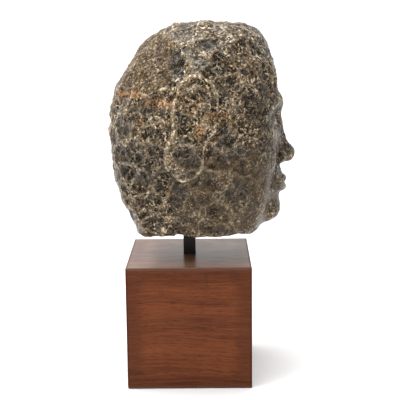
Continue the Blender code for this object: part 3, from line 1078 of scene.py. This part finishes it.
def ground_colour(place, zones, grain):
    """The stone between its marks: slate and brown, grey where bare, stained with ochre, with
    painted shade in its broad hollows.
    """
    colour = place.mask(SLATE_PATCHES).mixed(STONE_DARK, STONE_SLATE)
    colour = place.mask(BROWN_BLOTCHES).mixed(colour, STONE_BROWN)
    colour = (zones.smooth * 0.8 + zones.jaw * 0.5).mixed(colour, STONE_BROWN)
    colour = zones.rubbed.tinted(colour, RUBBED_SLATE)
    tan = 0.22 + 0.30 * zones.proud + 0.38 * zones.smooth
    tan = grain.between(0.54, 0.62) * tan * (1.0 - 0.55 * zones.rubbed)
    colour = tan.mixed(colour, STONE_TAN)
    colour = (zones.bare * 0.75 + place.mask(GREY_PATCHES) * 0.3).mixed(colour, STONE_GREY)
    stain = place.mask(STAINS) + zones.ochre
    colour = (stain * grain.between(0.30, 0.52)).tinted(colour, OCHRE_STAIN)
    # Painted shade: darker in the broad hollows of the carving.
    return zones.sunk.tinted(colour, PAINTED_SHADE_IN_HOLLOWS)


def weathered_stone():
    made, place, shader = new_material(
        "weathered_dark_stone", Specular_IOR_Level=0.10, Coat_Roughness=0.14, Coat_IOR=1.38
    )
    zones = Zones(place)
    grain = place.noise(GRAIN)
    pits = stone_pits(place, zones)
    marks = pale_marks(place, zones)
    cream = place.mask(RUSTY_PATCHES).tinted(STONE_CREAM, RUST_IN_STRANDS)
    crumbs = grain.between(0.42, 0.56) * (1.0 - 0.9 * pits)
    colour = ground_colour(place, zones, grain)
    # Painted shade: the gashes and pits are painted near black, standing in for the shade inside
    # them.
    colour = pits.tinted(colour, PAINTED_PIT_SHADE)
    # Painted shade: darker where the surface lies below the surface round it.
    colour = zones.hollow.between(*HOLLOW_DEPTHS).tinted(colour, PAINTED_SHADE_IN_FINE_HOLLOWS)
    colour = marks.mixed(colour, place.mask(PALE_GRAINS).mixed(STONE_TAN, cream))
    # Rubbed pale high points, which are also a painted highlight on the ridges.
    colour = (0.0 - zones.hollow).between(*HIGH_POINTS).tinted(colour, PALE_WEAR_AND_HIGHLIGHT_ON_HIGH_POINTS)
    colour = (zones.ochre * crumbs).tinted(colour, RUST_SPOTS)
    colour = zones.read("dark_spots").tinted(colour, DARK_SMUDGES)
    height = grain * 0.30 + marks * 0.9 - pits * 0.7
    feed(
        shader,
        Base_Color=colour,
        Roughness=0.30 + 0.25 * grain,
        Normal=height.bump(GRAIN_DEPTH, 1.0),
        Coat_Weight=0.28 + 0.45 * marks - 0.22 * pits - 0.12 * zones.sunk - 0.20 * zones.smooth,
    )
    return made


SOCKET_CLEARANCE = 0.0003


def drill_underneath(stone):
    """The square socket for the bar, cut with a box a clearance wider than the bar."""
    bar_low, bar_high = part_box("mounting_bar")
    side = bar_high.x - bar_low.x + 2 * SOCKET_CLEARANCE
    bottom = head_low.z - side
    top = bar_high.z + SOCKET_CLEARANCE
    shape = bmesh.new()
    bmesh.ops.create_cube(shape, size=1.0)
    bmesh.ops.scale(shape, vec=(side, side, top - bottom), verts=shape.verts)
    bmesh.ops.translate(shape, vec=(0, 0, (top + bottom) / 2), verts=shape.verts)
    mesh = bpy.data.meshes.new("socket_cutter")
    shape.to_mesh(mesh)
    shape.free()
    cutter = new_piece("socket_cutter", mesh)
    cut = stone.modifiers.new("bar_socket", "BOOLEAN")
    cut.operation = "DIFFERENCE"
    cut.solver = "EXACT"
    cut.object = cutter
    finished_mesh(stone)
    bpy.data.objects.remove(cutter)


stone = carved_stone()
stone_finish = weathered_stone()
weather = stone.modifiers.new("weathered_surface", "NODES")
weather.node_group = weathered_surface(stone_finish)
finished_mesh(stone)
drill_underneath(stone)
dress(stone, stone_finish)
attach(stone, "root")
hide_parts("stone_head")


# The studio: a wide white floor that glows far away, a white surround, a large soft lamp
# nearly overhead and a smaller one at the left front. The camera stands as the photo's did.

FLOOR_HALF = 12.0
FLOOR_WHITE = (0.86, 0.86, 0.86, 1)
FAR_GLOW = 0.60
GLOW_FROM = 0.8
GLOW_TO = 4.0
BLACK = (0, 0, 0, 1)


def floor():
    """The floor. Its glow far away hides where it ends, and leaves the shadows alone."""
    shape = bmesh.new()
    bmesh.ops.create_grid(shape, x_segments=1, y_segments=1, size=FLOOR_HALF)
    mesh = bpy.data.meshes.new("studio_floor")
    shape.to_mesh(mesh)
    shape.free()
    made = new_piece("studio_floor", mesh)
    material, place, shader = new_material("satin_white", Roughness=0.22, Specular_IOR_Level=0.5)
    shader.inputs["Base Color"].default_value = FLOOR_WHITE
    shader.inputs["Emission Strength"].default_value = FAR_GLOW
    far = place.vector("LENGTH", {0: place}, 1).between(GLOW_FROM, GLOW_TO)
    feed(shader, Emission_Color=far.mixed(BLACK, FLOOR_WHITE))
    dress(made, material)


class Lamp(NamedTuple):
    name: str
    place: tuple
    width: float
    watts: float


LAMPS = (
    Lamp("key_lamp", (-0.45, -0.2, 2.1), 1.6, 48),
    Lamp("front_lamp", (-1.1, -0.9, 1.8), 0.8, 10.5),
)
LIT_PLACE = (0, 0, 0.2)


def hang(lamp):
    """A round soft lamp, turned to the object."""
    data = bpy.data.lights.new(lamp.name, "AREA")
    data.shape = "DISK"
    data.size = lamp.width
    data.energy = lamp.watts
    made = bpy.data.objects.new(lamp.name, data)
    made.location = lamp.place
    towards = Vector(LIT_PLACE) - Vector(lamp.place)
    made.rotation_euler = towards.to_track_quat("-Z", "Y").to_euler()
    bpy.context.scene.collection.objects.link(made)


FRONT_LIGHT = 0.26
BACKDROP_LIGHT = 0.84
BACKDROP_SPREAD = (-0.6, 0.6)
OVERHEAD_LIGHT = 0.60
OVERHEAD_SPREAD = (0.0, 1.2)
SEEN_WHITE = 1.1


def surround():
    """Plain white to look at. As a light it is brightest overhead and behind the object."""
    world = bpy.data.worlds.new("pale_studio")
    world.use_nodes = True
    wire = Wire(world.node_tree)
    look = wire.node("ShaderNodeTexCoord", output=0)
    back = look.axis(1).between(*BACKDROP_SPREAD)
    up = look.axis(2).between(*OVERHEAD_SPREAD)
    light = FRONT_LIGHT + BACKDROP_LIGHT * back + OVERHEAD_LIGHT * up
    seen = wire.node("ShaderNodeLightPath") * SEEN_WHITE
    background = world.node_tree.nodes["Background"]
    feed(background, Strength=seen.greater(light))
    background.inputs["Color"].default_value = (1, 1, 1, 1)
    bpy.context.scene.world = world


CAMERA_PLACE = (0.0201, -0.9337, 0.3668)
CAMERA_DOWN = radians(9.81)
CAMERA_YAW = radians(-0.51)
CAMERA_ROLL = radians(-0.58)
CAMERA_FOCUS = 2.25
CAMERA_SHIFT = -0.05
SENSOR = 36.0


def camera():
    """The photo's view. The focus is in widths of the sensor."""
    level = Vector((cos(CAMERA_YAW), -sin(CAMERA_YAW), 0))
    ahead = Vector((sin(CAMERA_YAW), cos(CAMERA_YAW), 0)) * cos(CAMERA_DOWN)
    ahead.z = -sin(CAMERA_DOWN)
    up = level.cross(ahead)
    right = level * cos(CAMERA_ROLL) + up * sin(CAMERA_ROLL)
    up = right.cross(ahead)
    data = bpy.data.cameras.new("camera")
    data.sensor_width = SENSOR
    data.lens = SENSOR * CAMERA_FOCUS
    data.shift_y = CAMERA_SHIFT
    made = bpy.data.objects.new("camera", data)
    turn = Matrix((right, up, -ahead)).transposed().to_4x4()
    made.matrix_world = Matrix.Translation(CAMERA_PLACE) @ turn
    bpy.context.scene.collection.objects.link(made)
    bpy.context.scene.camera = made


floor()
surround()
for lamp in LAMPS:
    hang(lamp)
camera()
bpy.context.scene.view_settings.view_transform = "Standard"
bpy.context.scene.view_settings.look = "None"
